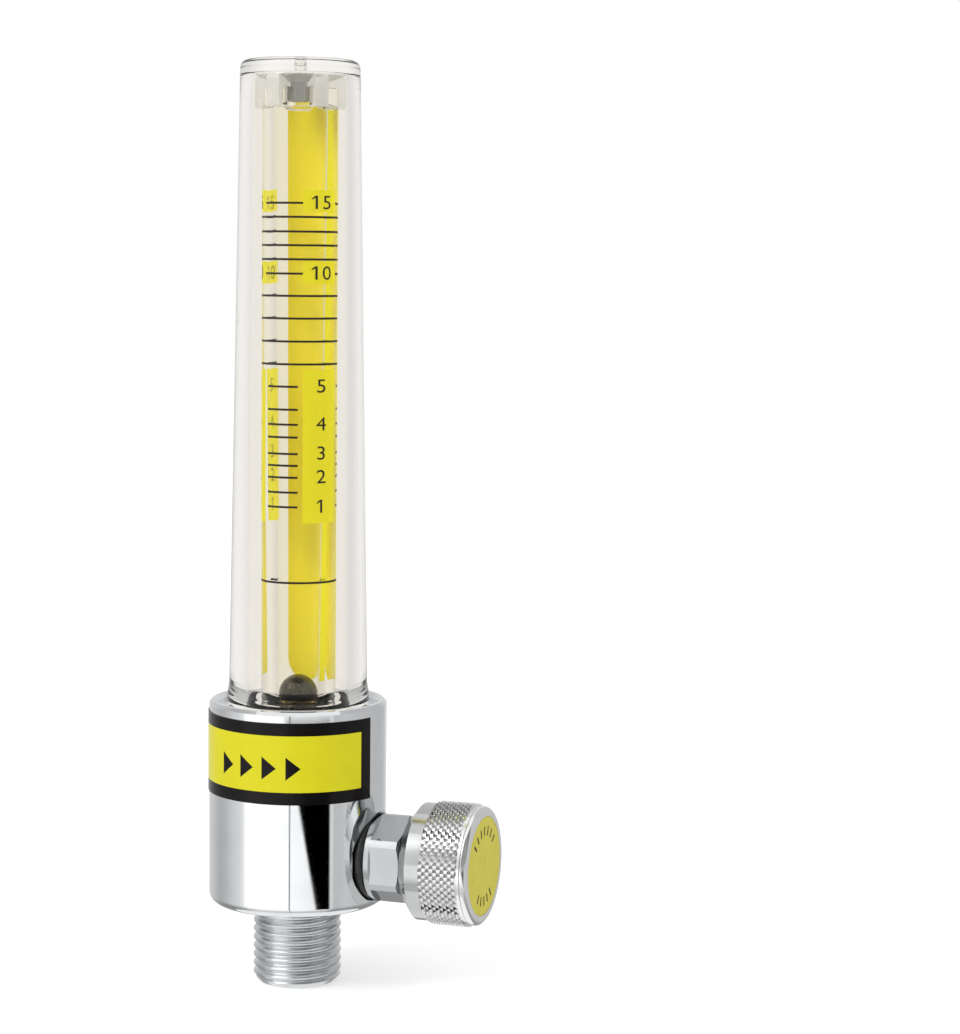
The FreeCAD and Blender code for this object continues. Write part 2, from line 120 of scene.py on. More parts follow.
def turnedMesh(name, outline, columns=192, crisp=25):
    # an outline turned about the tube's axis, closed into a solid
    points, faces, rings = [], [], []
    for radius, height in outline:
        if radius < 1e-6:
            rings.append([len(points)] * columns)
            points.append((0, 0, height))
            continue
        rings.append(list(range(len(points), len(points) + columns)))
        for column in range(columns):
            angle = 2 * math.pi * column / columns
            points.append((radius * math.cos(angle), radius * math.sin(angle), height))
    for index, ring in enumerate(rings):
        following = rings[(index + 1) % len(rings)]
        for column in range(columns):
            ahead = (column + 1) % columns
            corners = list(dict.fromkeys((ring[column], ring[ahead], following[ahead], following[column])))
            if len(corners) > 2:
                faces.append(corners)
    mesh = meshFrom(name, points, faces)
    faceOutward(mesh)
    sharpen(mesh, crisp)
    return mesh


def addNode(tree, kind, inputs=None, links=None):
    node = tree.nodes.new(kind)
    for key, value in (inputs or {}).items():
        node.inputs[key].default_value = value
    for key, source in (links or {}).items():
        tree.links.new(source, node.inputs[key])
    return node


def maths(tree, operation, first, second=0.0, third=0.0):
    node = tree.nodes.new("ShaderNodeMath")
    node.operation = operation
    for index, value in enumerate((first, second, third)):
        if isinstance(value, (int, float)):
            node.inputs[index].default_value = value
        else:
            tree.links.new(value, node.inputs[index])
    return node.outputs[0]


def mixColour(tree, mask, low, high):
    node = tree.nodes.new("ShaderNodeMix")
    node.data_type = "RGBA"
    for index, value in ((6, low), (7, high)):         # the node's colour pair
        if isinstance(value, tuple):
            node.inputs[index].default_value = value
        else:
            tree.links.new(value, node.inputs[index])
    tree.links.new(mask, node.inputs[0])
    return node.outputs[2]                             # the mixed colour


def newMaterial(name, **sockets):
    material = bpy.data.materials.new(name)
    material.use_nodes = True
    tree = material.node_tree
    tree.nodes.clear()
    out = tree.nodes.new("ShaderNodeOutputMaterial")
    shader = tree.nodes.new("ShaderNodeBsdfPrincipled")
    tree.links.new(shader.outputs["BSDF"], out.inputs["Surface"])
    for key, value in sockets.items():
        shader.inputs[key.replace("_", " ")].default_value = value
    return material, tree, shader


def surfaceOut(tree):
    out = next(node for node in tree.nodes if node.type == "OUTPUT_MATERIAL")
    return out.inputs["Surface"]


def newGroup(name, inputs, outputs):
    group = bpy.data.node_groups.new(name, "ShaderNodeTree")
    for label, kind, value in inputs:
        socket = group.interface.new_socket(name=label, in_out="INPUT", socket_type=kind)
        socket.default_value = value
    for label, kind in outputs:
        group.interface.new_socket(name=label, in_out="OUTPUT", socket_type=kind)
    start = group.nodes.new("NodeGroupInput")
    end = group.nodes.new("NodeGroupOutput")
    return group, start, end


def placeGroup(tree, group, **values):
    node = tree.nodes.new("ShaderNodeGroup")
    node.node_tree = group
    for key, value in values.items():
        node.inputs[key.replace("_", " ")].default_value = value
    return node


def fade(tree, value, start, finish):
    # 0 before start, 1 after finish
    return addNode(tree, "ShaderNodeMapRange", inputs={"From Min": start, "From Max": finish},
                   links={"Value": value}).outputs["Result"]


def between(tree, value, low, high, soft):
    # 1 from low to high, with soft ends
    return maths(tree, "MULTIPLY", fade(tree, value, low - soft, low + soft),
                 fade(tree, value, high + soft, high - soft))


def bumpFrom(tree, height, strength, distance):
    return addNode(tree, "ShaderNodeBump", inputs={"Strength": strength, "Distance": distance},
                   links={"Height": height}).outputs["Normal"]


def dress(node, material):
    # a CAD piece keeps its mesh and takes the material
    target = nodes[node] if isinstance(node, str) else node
    target.data.materials.clear()
    target.data.materials.append(material)


print("stage 1: frame loaded,", len(nodes), "CAD pieces")


# Camera at the photograph's place
photoView = {
    "azimuth": 22.6307, "yaw": -3.9929, "pitch": 5.7020, "roll": 0.6017,   # degrees
    "distance": 418.623, "height": 117.896,                                # mm from the axis and the floor
    "focalPixels": 2607.27, "imageHeight": 1034, "sensor": 36.0, "clipStart": 0.01,
}


def placeCamera(view):
    azimuth, yaw, pitch, roll = (math.radians(view[key]) for key in ("azimuth", "yaw", "pitch", "roll"))
    place = Vector((math.sin(azimuth), -math.cos(azimuth), 0)) * view["distance"] * mm
    place.z = view["height"] * mm
    heading = azimuth + yaw
    forward = Vector((-math.sin(heading) * math.cos(pitch), math.cos(heading) * math.cos(pitch),
                      -math.sin(pitch)))
    level = Vector((math.cos(heading), math.sin(heading), 0))
    upright = level.cross(forward)
    right = level * math.cos(roll) + upright * math.sin(roll)
    up = upright * math.cos(roll) - level * math.sin(roll)
    data = bpy.data.cameras.new("photoCamera")
    data.sensor_width = view["sensor"]
    data.lens = view["focalPixels"] * view["sensor"] / view["imageHeight"]
    data.clip_start = view["clipStart"]
    camera = bpy.data.objects.new("photoCamera", data)
    scene.collection.objects.link(camera)
    turn = Matrix((right, up, -forward)).transposed().to_4x4()
    camera.matrix_world = Matrix.Translation(place) @ turn
    scene.camera = camera


placeCamera(photoView)
scene.view_settings.view_transform = "Standard"
print("stage 2: camera placed")


# Shared shader groups: masks, values and colours only
wearMarks = {"hazeFrom": 0.45, "hazeTo": 0.75, "dullShare": 0.5, "grainRough": 0.02, "grainHeight": 0.15}


def buildSurfaceWear(settings):
    # handling marks: patches of haze, fine specks and a slight waviness
    group, start, end = newGroup("surfaceWear", [
        ("Tint", "NodeSocketColor", (0.8, 0.8, 0.8, 1)),
        ("Dull Tint", "NodeSocketColor", (0.6, 0.6, 0.6, 1)),
        ("Patch Scale", "NodeSocketFloat", 150.0), ("Grain Scale", "NodeSocketFloat", 2500.0),
        ("Polish", "NodeSocketFloat", 0.05), ("Haze", "NodeSocketFloat", 0.1)],
        [("Color", "NodeSocketColor"), ("Roughness", "NodeSocketFloat"), ("Height", "NodeSocketFloat")])
    coords = addNode(group, "ShaderNodeTexCoord").outputs["Object"]
    patch = addNode(group, "ShaderNodeTexNoise", inputs={"Detail": 4.0, "Roughness": 0.6},
                    links={"Vector": coords, "Scale": start.outputs["Patch Scale"]}).outputs["Fac"]
    grain = addNode(group, "ShaderNodeTexNoise", inputs={"Detail": 2.0},
                    links={"Vector": coords, "Scale": start.outputs["Grain Scale"]}).outputs["Fac"]
    hazeMask = fade(group, patch, settings["hazeFrom"], settings["hazeTo"])
    rough = maths(group, "MULTIPLY_ADD", hazeMask, start.outputs["Haze"], start.outputs["Polish"])
    rough = maths(group, "MULTIPLY_ADD", grain, settings["grainRough"], rough)
    colour = mixColour(group, maths(group, "MULTIPLY", hazeMask, settings["dullShare"]),
                       start.outputs["Tint"], start.outputs["Dull Tint"])
    height = maths(group, "MULTIPLY_ADD", grain, settings["grainHeight"], patch)
    group.links.new(colour, end.inputs["Color"])
    group.links.new(rough, end.inputs["Roughness"])
    group.links.new(height, end.inputs["Height"])
    return group


def buildCylinderPlace():
    # where a point lies round the tube: angle from the front in degrees, height in millimetres
    group, start, end = newGroup("cylinderPlace", [
        ("Turn", "NodeSocketFloat", 0.0)],
        [("Angle", "NodeSocketFloat"), ("Height", "NodeSocketFloat")])
    coords = addNode(group, "ShaderNodeTexCoord").outputs["Object"]
    parts = addNode(group, "ShaderNodeSeparateXYZ", links={"Vector": coords})
    back = maths(group, "MULTIPLY", parts.outputs["Y"], -1.0)
    angle = maths(group, "MULTIPLY", maths(group, "ARCTAN2", parts.outputs["X"], back), 180 / math.pi)
    angle = maths(group, "SUBTRACT", angle, start.outputs["Turn"])
    height = maths(group, "MULTIPLY", parts.outputs["Z"], 1 / mm)
    group.links.new(angle, end.inputs["Angle"])
    group.links.new(height, end.inputs["Height"])
    return group


surfaceWear = buildSurfaceWear(wearMarks)
cylinderPlace = buildCylinderPlace()
metalGrain = 0.1 * mm            # depth of the wear group's bump
plasticGrain = 0.05 * mm


def mixShaders(tree, share, first, second):
    # the material shows this much of the second shader
    mix = addNode(tree, "ShaderNodeMixShader")
    if isinstance(share, float):
        mix.inputs[0].default_value = share
    else:
        tree.links.new(share, mix.inputs[0])
    tree.links.new(first.outputs["BSDF"], mix.inputs[1])
    tree.links.new(second.outputs["BSDF"], mix.inputs[2])
    tree.links.new(mix.outputs["Shader"], surfaceOut(tree))


def wornMaterial(name, sockets, bump=0.0, bumpDepth=0.0, **marks):
    # a material whose colour, roughness and bump come from the wear group
    material, tree, shader = newMaterial(name, **sockets)
    wear = placeGroup(tree, surfaceWear, **marks)
    tree.links.new(wear.outputs["Color"], shader.inputs["Base Color"])
    tree.links.new(wear.outputs["Roughness"], shader.inputs["Roughness"])
    if bump:
        tree.links.new(bumpFrom(tree, wear.outputs["Height"], bump, bumpDepth), shader.inputs["Normal"])
    return material, tree, shader


def metal(name, tint, dullTint, polish, haze, patchScale=150.0, bump=0.02):
    return wornMaterial(name, {"Metallic": 1.0}, bump, metalGrain, Tint=tint, Dull_Tint=dullTint,
                        Patch_Scale=patchScale, Polish=polish, Haze=haze)[0]


def clearPlastic(name, tint, dullTint, shadowTint, gloss, clarity, patchScale, polish, haze, ior=1.49,
                 grainScale=900.0):
    # real refraction; shadows and soft light pass straight through, so what is inside stays lit
    sockets = {"IOR": ior, "Transmission Weight": clarity, "Specular Tint": (gloss, gloss, gloss, 1)}
    material, tree, shader = wornMaterial(name, sockets, Tint=tint, Dull_Tint=dullTint,
                                          Patch_Scale=patchScale, Grain_Scale=grainScale,
                                          Polish=polish, Haze=haze)
    through = addNode(tree, "ShaderNodeBsdfTransparent", inputs={"Color": shadowTint})
    path = tree.nodes.new("ShaderNodeLightPath")
    soft = maths(tree, "MAXIMUM", path.outputs["Is Shadow Ray"], path.outputs["Is Diffuse Ray"])
    mixShaders(tree, soft, shader, through)
    return material


def plainPlastic(name, tint, dullTint, polish, haze, gloss=0.5, bump=0.1, patchScale=250.0, lightThrough=0.0):
    # a film that lets light through has a share of translucent shader
    material, tree, shader = wornMaterial(name, {"Specular IOR Level": gloss}, bump, plasticGrain,
                                          Tint=tint, Dull_Tint=dullTint, Patch_Scale=patchScale,
                                          Polish=polish, Haze=haze)
    if lightThrough:
        behind = addNode(tree, "ShaderNodeBsdfTranslucent", inputs={"Color": tint})
        mixShaders(tree, lightThrough, shader, behind)
    return material


metalFinishes = {
    "platedBody": dict(tint=(0.80, 0.815, 0.83, 1), dullTint=(0.68, 0.70, 0.72, 1), polish=0.03, haze=0.05),
    "platedBonnet": dict(tint=(0.47, 0.485, 0.495, 1), dullTint=(0.40, 0.415, 0.425, 1),
                         polish=0.08, haze=0.08),
    "threadPlating": dict(tint=(0.70, 0.715, 0.73, 1), dullTint=(0.50, 0.52, 0.54, 1),
                          polish=0.16, haze=0.14),
    "ballSteel": dict(tint=(0.13, 0.125, 0.11, 1), dullTint=(0.06, 0.06, 0.053, 1), polish=0.08, haze=0.12),
    "stopMetal": dict(tint=(0.48, 0.48, 0.465, 1), dullTint=(0.36, 0.36, 0.35, 1), polish=0.14, haze=0.08),
    "turnedBrass": dict(tint=(0.78, 0.60, 0.28, 1), dullTint=(0.58, 0.42, 0.18, 1), polish=0.20, haze=0.12),
    "screwSteel": dict(tint=(0.58, 0.58, 0.58, 1), dullTint=(0.42, 0.42, 0.42, 1), polish=0.25, haze=0.12),
    "sinteredBronze": dict(tint=(0.52, 0.38, 0.22, 1), dullTint=(0.30, 0.20, 0.11, 1),
                           polish=0.50, haze=0.20, patchScale=3500.0, bump=0.9),
}
clearFinishes = {
    "clearCover": dict(tint=(0.925, 0.906, 0.868, 1), dullTint=(0.908, 0.89, 0.85, 1),
                       shadowTint=(0.99, 0.99, 0.985, 1), gloss=0.4, clarity=1.0,
                       patchScale=60.0, polish=0.0, haze=0.015),
    "clearTube": dict(tint=(0.985, 0.97, 0.905, 1), dullTint=(0.97, 0.955, 0.88, 1),
                      shadowTint=(0.99, 0.99, 0.985, 1), gloss=0.25, clarity=1.0,
                      patchScale=60.0, polish=0.0, haze=0.01),
    "clearCage": dict(tint=(0.75, 0.74, 0.71, 1), dullTint=(0.70, 0.69, 0.66, 1),
                      shadowTint=(0.95, 0.95, 0.94, 1), gloss=1.0, clarity=0.5,
                      patchScale=120.0, polish=0.05, haze=0.05),
}
plainFinishes = {
    "blackRubber": dict(tint=(0.012, 0.012, 0.013, 1), dullTint=(0.03, 0.03, 0.03, 1),
                        polish=0.30, haze=0.15, gloss=0.45, bump=0.2, patchScale=600.0),
    "yellowStrip": dict(tint=(0.96, 0.86, 0.03, 1), dullTint=(0.96, 0.88, 0.06, 1),
                        polish=0.45, haze=0.2, gloss=0.15, patchScale=220.0, lightThrough=0.3),
    "fieldInk": dict(tint=(0.95, 0.88, 0.02, 1), dullTint=(0.92, 0.85, 0.03, 1),
                     polish=0.45, haze=0.2, gloss=0.1, bump=0.0, patchScale=260.0, lightThrough=0.52),
    "discPlastic": dict(tint=(0.56, 0.50, 0.025, 1), dullTint=(0.50, 0.44, 0.022, 1),
                        polish=0.38, haze=0.15),
    "printInk": dict(tint=(0.012, 0.007, 0.004, 1), dullTint=(0.03, 0.02, 0.012, 1),
                     polish=0.45, haze=0.1, gloss=0.12),
}
metals = {name: metal(name, **values) for name, values in metalFinishes.items()}
clears = {name: clearPlastic(name, **values) for name, values in clearFinishes.items()}
plastics = {name: plainPlastic(name, **values) for name, values in plainFinishes.items()}

# The knob: the ring at its back is darker than the knurl and the face beyond it
knobFinish = {
    "ring": dict(Tint=(0.56, 0.575, 0.565, 1), Dull_Tint=(0.47, 0.485, 0.48, 1), Polish=0.06, Haze=0.08),
    "grip": dict(Tint=(0.90, 0.905, 0.90, 1), Dull_Tint=(0.76, 0.77, 0.77, 1), Polish=0.15, Haze=0.08),
    "gripFrom": 24.25, "edge": 0.02, "bump": 0.02,     # mm along the valve's axis, mm, strength
}


def buildKnobPlating(settings):
    material, tree, shader = newMaterial("platedKnob", Metallic=1.0)
    coords = addNode(tree, "ShaderNodeTexCoord").outputs["Object"]
    along = addNode(tree, "ShaderNodeSeparateXYZ", links={"Vector": coords}).outputs["X"]
    isGrip = fade(tree, maths(tree, "MULTIPLY", along, 1 / mm), settings["gripFrom"] - settings["edge"],
                  settings["gripFrom"] + settings["edge"])
    ring = placeGroup(tree, surfaceWear, **settings["ring"])
    grip = placeGroup(tree, surfaceWear, **settings["grip"])
    tree.links.new(mixColour(tree, isGrip, ring.outputs["Color"], grip.outputs["Color"]),
                   shader.inputs["Base Color"])
    blend = addNode(tree, "ShaderNodeMix", links={"Factor": isGrip, "A": ring.outputs["Roughness"],
                                                  "B": grip.outputs["Roughness"]})
    tree.links.new(blend.outputs["Result"], shader.inputs["Roughness"])
    tree.links.new(bumpFrom(tree, ring.outputs["Height"], settings["bump"], metalGrain),
                   shader.inputs["Normal"])
    return material


# The label: a yellow film with a black border, and plain arrowheads as its print
labelPrint = {
    "border": 2.0, "sideBorder": 8.8,            # mm, and degrees at the two ends
    "halfAngle": 79.0, "turn": -4.0,             # degrees
    "yellow": dict(Tint=(0.60, 0.555, 0.014, 1), Dull_Tint=(0.55, 0.50, 0.012, 1),
                   Patch_Scale=300.0, Polish=0.16, Haze=0.1),
    "black": dict(Tint=(0.004, 0.003, 0.003, 1), Dull_Tint=(0.010, 0.008, 0.007, 1), Patch_Scale=260.0),
    "gloss": 0.16, "bump": 0.12,
    "marks": 4, "markStart": -27.7, "markStep": 15.5,        # degrees from the label's middle
    "markWidth": 9.5, "markHeight": 3.7, "markDrop": 0.7,    # degrees, mm, mm
}


def arrowheads(tree, place, middle, settings):
    # 1 on a row of arrowheads that point towards the knob
    turn = maths(tree, "SUBTRACT", place.outputs["Angle"], settings["markStart"])
    inRow = maths(tree, "MULTIPLY", maths(tree, "GREATER_THAN", turn, 0.0),
                  maths(tree, "LESS_THAN", turn, settings["marks"] * settings["markStep"]))
    along = maths(tree, "DIVIDE", maths(tree, "MODULO", turn, settings["markStep"]), settings["markWidth"])
    half = maths(tree, "MULTIPLY", maths(tree, "SUBTRACT", 1.0, along), settings["markHeight"] / 2)
    off = maths(tree, "SUBTRACT", place.outputs["Height"], middle - settings["markDrop"])
    return maths(tree, "MULTIPLY", inRow, maths(tree, "LESS_THAN", maths(tree, "ABSOLUTE", off), half))


def buildLabelFilm(settings):
    material, tree, shader = newMaterial("labelFilm", Specular_IOR_Level=settings["gloss"])
    place = placeGroup(tree, cylinderPlace, Turn=settings["turn"])
    middle = (labelLow[2] + labelHigh[2]) / 2
    halfHeight = (labelHigh[2] - labelLow[2]) / 2 - settings["border"]
    offHeight = maths(tree, "ABSOLUTE", maths(tree, "SUBTRACT", place.outputs["Height"], middle))
    offAngle = maths(tree, "ABSOLUTE", place.outputs["Angle"])
    inRows = maths(tree, "LESS_THAN", offHeight, halfHeight)
    inColumns = maths(tree, "LESS_THAN", offAngle, settings["halfAngle"] - settings["sideBorder"])
    unmarked = maths(tree, "SUBTRACT", 1.0, arrowheads(tree, place, middle, settings))
    field = maths(tree, "MULTIPLY", maths(tree, "MULTIPLY", inRows, inColumns), unmarked)
    yellow = placeGroup(tree, surfaceWear, **settings["yellow"])
    black = placeGroup(tree, surfaceWear, **settings["black"])
    colour = mixColour(tree, field, black.outputs["Color"], yellow.outputs["Color"])
    tree.links.new(colour, shader.inputs["Base Color"])
    tree.links.new(yellow.outputs["Roughness"], shader.inputs["Roughness"])
    tree.links.new(bumpFrom(tree, yellow.outputs["Height"], settings["bump"], plasticGrain),
                   shader.inputs["Normal"])
    return material


print("stage 3: materials ready")


# The scale printed on the outside of the flow tube
scalePrint = {
    "turn": -4.0, "lift": 0.02,                            # degrees, mm off the tube
    "line": 0.34, "ink": 0.015,                            # mm: line width and thickness of the print
    "ringSpan": (-78.0, 122.0),                            # the rings end before the strip behind
    "longTicks": ((-31.0, 31.0), (89.0, 122.0)),           # degrees from the front of the scale
    "shortTicks": ((-24.5, 24.5), (95.5, 122.0)),
    "numberTurns": (60.0, -60.0), "numberHeight": 2.2, "numberStretch": 1.25,
    "numberShare": 0.72, "numberCurve": 6,                 # a figure's share of the font size, its fineness
    "numberSlice": 0.15, "numberCuts": 14,                 # mm, cuts to each side, so the figures bend
    "numberFlag": ((0, 0), (-0.45, -0.42), (-0.45, -0.66), (0, -0.34)),    # mm from the top of the 1
    "rings": (123.79, 121.51, 119.37, 117.17, 111.44, 107.89, 104.28, 100.69, 65.99),
    "longMarks": {"15": 125.97, "10": 114.93},
    "shortMarks": {"5": 97.15, "4.5": 93.53, "4": 91.16, "3.5": 89.15, "3": 86.53, "2.5": 84.66,
                   "2": 82.77, "1.5": 80.40, "1": 78.07},
    "fields": ((124.6, 128.0), (113.3, 116.8), (75.5, 99.8)),  # heights of the bright fields
    "fieldSpans": ((31.5, 88.5), (-88.5, -31.5)),
    "margin": (99.0, 128.5), "marginHeights": (49.5, 140.7),   # yellow carried on beside the strip
    "bandStep": 2.0, "sheetStep": 1.0,                     # degrees per facet
}


def aroundTube(angle, radius, height):
    # angle in degrees from the front of the scale towards the knob
    turned = math.radians(angle + scalePrint["turn"])
    return (radius * math.sin(turned), -radius * math.cos(turned), height)


def bandOnTube(points, faces, fromAngle, toAngle, low, high, inner, thickness):
    # a thin closed strip that hugs the tube
    outer = inner + thickness
    steps = max(2, round(abs(toAngle - fromAngle) / scalePrint["bandStep"]))
    first = len(points)
    for index in range(steps + 1):
        angle = fromAngle + (toAngle - fromAngle) * index / steps
        for radius, height in ((inner, low), (outer, low), (outer, high), (inner, high)):
            points.append(aroundTube(angle, radius, height))
    for index in range(steps):
        here = first + 4 * index
        for side in range(4):
            beside = (side + 1) % 4
            faces.append((here + side, here + beside, here + 4 + beside, here + 4 + side))
    last = first + 4 * steps
    faces.append((first + 3, first + 2, first + 1, first))
    faces.append((last, last + 1, last + 2, last + 3))


def sheetOnTube(points, faces, fromAngle, toAngle, low, high, radius):
    # a printed area without thickness
    steps = max(2, round(abs(toAngle - fromAngle) / scalePrint["sheetStep"]))
    first = len(points)
    for index in range(steps + 1):
        angle = fromAngle + (toAngle - fromAngle) * index / steps
        for height in (low, high):
            points.append(aroundTube(angle, radius, height))
    for index in range(steps):
        here = first + 2 * index
        faces.append((here, here + 2, here + 3, here + 1))


def makeScaleLines(settings):
    points, faces = [], []
    inner = tubeRadius + settings["lift"]
    half = settings["line"] / 2
    for heights, spans in ((settings["rings"], (settings["ringSpan"],)),
                           (settings["longMarks"].values(), settings["longTicks"]),
                           (settings["shortMarks"].values(), settings["shortTicks"])):
        for height in heights:
            for start, finish in spans:
                bandOnTube(points, faces, start, finish, height - half, height + half, inner,
                           settings["ink"])
    piece = newPiece("scaleLines", meshFrom("scaleLines", points, faces, smooth=False), "meter_body")
    piece.data.materials.append(plastics["printInk"])


def numberMesh(text, settings):
    # plain figures as a flat mesh, centred, in millimetres
    curve = bpy.data.curves.new("figure", "FONT")
    curve.body = text
    curve.size = settings["numberHeight"] / settings["numberShare"]
    curve.align_x = "CENTER"
    curve.align_y = "CENTER"
    curve.resolution_u = settings["numberCurve"]
    holder = bpy.data.objects.new("figure", curve)
    scene.collection.objects.link(holder)
    bpy.context.view_layer.update()
    mesh = bpy.data.meshes.new_from_object(holder)
    work = bmesh.new()
    work.from_mesh(mesh)
    bmesh.ops.remove_doubles(work, verts=work.verts, dist=1e-5)
    for cut in range(-settings["numberCuts"], settings["numberCuts"] + 1):
        bmesh.ops.bisect_plane(work, geom=list(work.verts) + list(work.edges) + list(work.faces),
                               plane_co=(cut * settings["numberSlice"], 0, 0), plane_no=(1, 0, 0))
    work.verts.index_update()
    points = [tuple(vertex.co) for vertex in work.verts]
    faces = [tuple(vertex.index for vertex in face.verts) for face in work.faces]
    if text.startswith("1"):
        # the font's 1 is a bare bar, so it gets a flag at its top
        left = min(x for x, _, _ in points)
        top = max(y for _, y, _ in points)
        faces.append(tuple(range(len(points), len(points) + 4)))
        points.extend((left + across, top + up, 0) for across, up in settings["numberFlag"])
    work.free()
    bpy.data.objects.remove(holder)
    bpy.data.curves.remove(curve)
    bpy.data.meshes.remove(mesh)
    return points, faces


def makeScaleNumbers(settings):
    points, faces = [], []
    radius = tubeRadius + settings["lift"] + 2 * settings["ink"]
    marks = {**settings["longMarks"], **settings["shortMarks"]}
    for text, height in marks.items():
        if "." in text:
            continue
        flat, flatFaces = numberMesh(text, settings)
        for middle in settings["numberTurns"]:
            first = len(points)
            for x, y, _ in flat:
                turned = middle + math.degrees(x * settings["numberStretch"] / radius)
                points.append(aroundTube(turned, radius, height + y))
            faces.extend(tuple(first + corner for corner in face) for face in flatFaces)
    piece = newPiece("scaleNumbers", meshFrom("scaleNumbers", points, faces), "meter_body")
    piece.data.materials.append(plastics["printInk"])


def makeScaleFields(settings):
    points, faces = [], []
    radius = tubeRadius + settings["lift"] / 2
    for low, high in settings["fields"]:
        for start, finish in settings["fieldSpans"]:
            sheetOnTube(points, faces, start, finish, low, high, radius)
    sheetOnTube(points, faces, *settings["margin"], *settings["marginHeights"], radius)
    piece = newPiece("scaleFields", meshFrom("scaleFields", points, faces), "meter_body")
    piece.data.materials.append(plastics["fieldInk"])


makeScaleLines(scalePrint)
makeScaleNumbers(scalePrint)
makeScaleFields(scalePrint)
print("stage 4: scale printed")


# The outlet's thread: the body's mesh with its plain nipple cut away and a real helix in its place
outletThread = {
    "radius": 7.145, "pitch": 1.411, "depth": 0.55, "endRadius": 6.045, "chamfer": 1.1,     # mm
    "top": 13.4, "plainTop": 0.9, "fade": 0.8, "crest": 0.75,
    "columns": 144, "rowStep": 0.075, "slack": 0.03, "flat": 0.01,
}


def threadRadius(settings, angle, height):
    turn = (height / settings["pitch"] - angle / (2 * math.pi)) % 1.0
    wave = 0.5 - 0.5 * math.cos(2 * math.pi * turn)
    valley = 1.0 - wave ** settings["crest"]
    threadTop = settings["top"] - settings["plainTop"]
    runOut = min(1.0, max(0.0, (threadTop - height) / settings["fade"]))
    radius = settings["radius"] - settings["depth"] * valley * runOut
    slope = (settings["radius"] - settings["endRadius"]) / settings["chamfer"]
    return min(radius, settings["endRadius"] + slope * height)


def makeThreadedBody(settings):
    mesh = nodes["valve_body"].data.copy()
    mesh.name = "threadedBody"
    # faces of the plain nipple's wall: between these radii, below the thread's top and not flat
    inner, outer = settings["endRadius"] - settings["slack"], settings["radius"] + settings["slack"]
    work = bmesh.new()
    work.from_mesh(mesh)
    old = []
    for face in work.faces:
        radii = [math.hypot(vertex.co.x, vertex.co.y) / mm for vertex in face.verts]
        heights = [vertex.co.z / mm for vertex in face.verts]
        onNipple = min(radii) > inner and max(radii) < outer
        isFlat = max(heights) - min(heights) < settings["flat"]
        if onNipple and not isFlat and max(heights) < settings["top"] + settings["flat"]:
            old.append(face)
    bmesh.ops.delete(work, geom=old, context="FACES")
    work.to_mesh(mesh)
    work.free()
    body = newPiece("threadedBody", mesh, "meter_body")
    dress(body, metals["platedBody"])

    # the helix, row by row up the nipple
    columns = settings["columns"]
    rows = round(settings["top"] / settings["rowStep"])
    points, faces = [], []
    for row in range(rows + 1):
        height = settings["top"] * row / rows
        for column in range(columns):
            angle = 2 * math.pi * column / columns
            radius = threadRadius(settings, angle, height)
            points.append((radius * math.cos(angle), radius * math.sin(angle), height))
    for row in range(rows):
        for column in range(columns):
            here = row * columns + column
            beside = row * columns + (column + 1) % columns
            faces.append((here, beside, beside + columns, here + columns))
    thread = newPiece("outletThread", meshFrom("outletThread", points, faces), "meter_body")
    thread.data.materials.append(metals["threadPlating"])
    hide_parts("valve_body")


makeThreadedBody(outletThread)
print("stage 5: thread cut")


# Print on the knob's disc: plain marks
discMarks = {
    "rows": ((90, 100.0, 7), (270, 64.0, 5)),              # middle and spread in degrees, number of ticks
    "inner": 4.9, "outer": 6.4, "width": 0.42,             # mm
    "inset": 0.012, "markInset": 0.004,                    # mm that the face and its marks lie deeper
}


def makeDiscMarks(settings):
    # a dial of radial ticks at the top, and a shorter one below, on a face that lies a hair deeper
    mesh = nodes["knob_disc"].data.copy()
    for vertex in mesh.vertices:
        if vertex.co.x > (discFace - settings["inset"]) * mm:
            vertex.co.x -= settings["inset"] * mm
    disc = newPiece("dialDisc", mesh, "knob_assembly")
    dress(disc, plastics["discPlastic"])
    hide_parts("knob_disc")
    points, faces = [], []
    for middle, spread, count in settings["rows"]:
        for index in range(count):
            angle = math.radians(middle + spread * (index / (count - 1) - 0.5))
            along = Vector((math.cos(angle), math.sin(angle)))
            across = Vector((-along.y, along.x)) * settings["width"] / 2
            first = len(points)
            for radius in (settings["inner"], settings["outer"]):
                for side in (-1, 1):
                    spot = along * radius + across * side
                    points.append((discFace - settings["markInset"], spot.x, valveHeight + spot.y))
            faces.append((first, first + 1, first + 3, first + 2))
    piece = newPiece("discMarks", meshFrom("discMarks", points, faces, smooth=False), "knob_assembly")
    piece.data.materials.append(plastics["printInk"])


makeDiscMarks(discMarks)

# Clear pieces, turned with many more facets than the CAD ones so that they refract cleanly
clearCover = {
    "spigot": 10.6, "foot": 11.45, "neck": 11.15, "topInset": 1.96, "ringGroove": 9.65,      # radii, mm
    "boreLow": 8.4, "boreHigh": 7.83, "cavityTop": 7.45, "gate": 0.75,
    "seat": 45.4, "footTop": 47.5, "neckHeight": 49.0, "grooveLow": 40.7, "grooveHigh": 42.0,   # heights, mm
    "cavityFoot": 141.0, "ceiling": 146.3, "gateTop": 147.6,
    "footRound": 1.1, "footTopRound": 1.5, "neckRound": 2.0, "topRound": 1.3, "gateRound": 0.2,
    "ceilingRound": 0.5, "steps": 20,
}


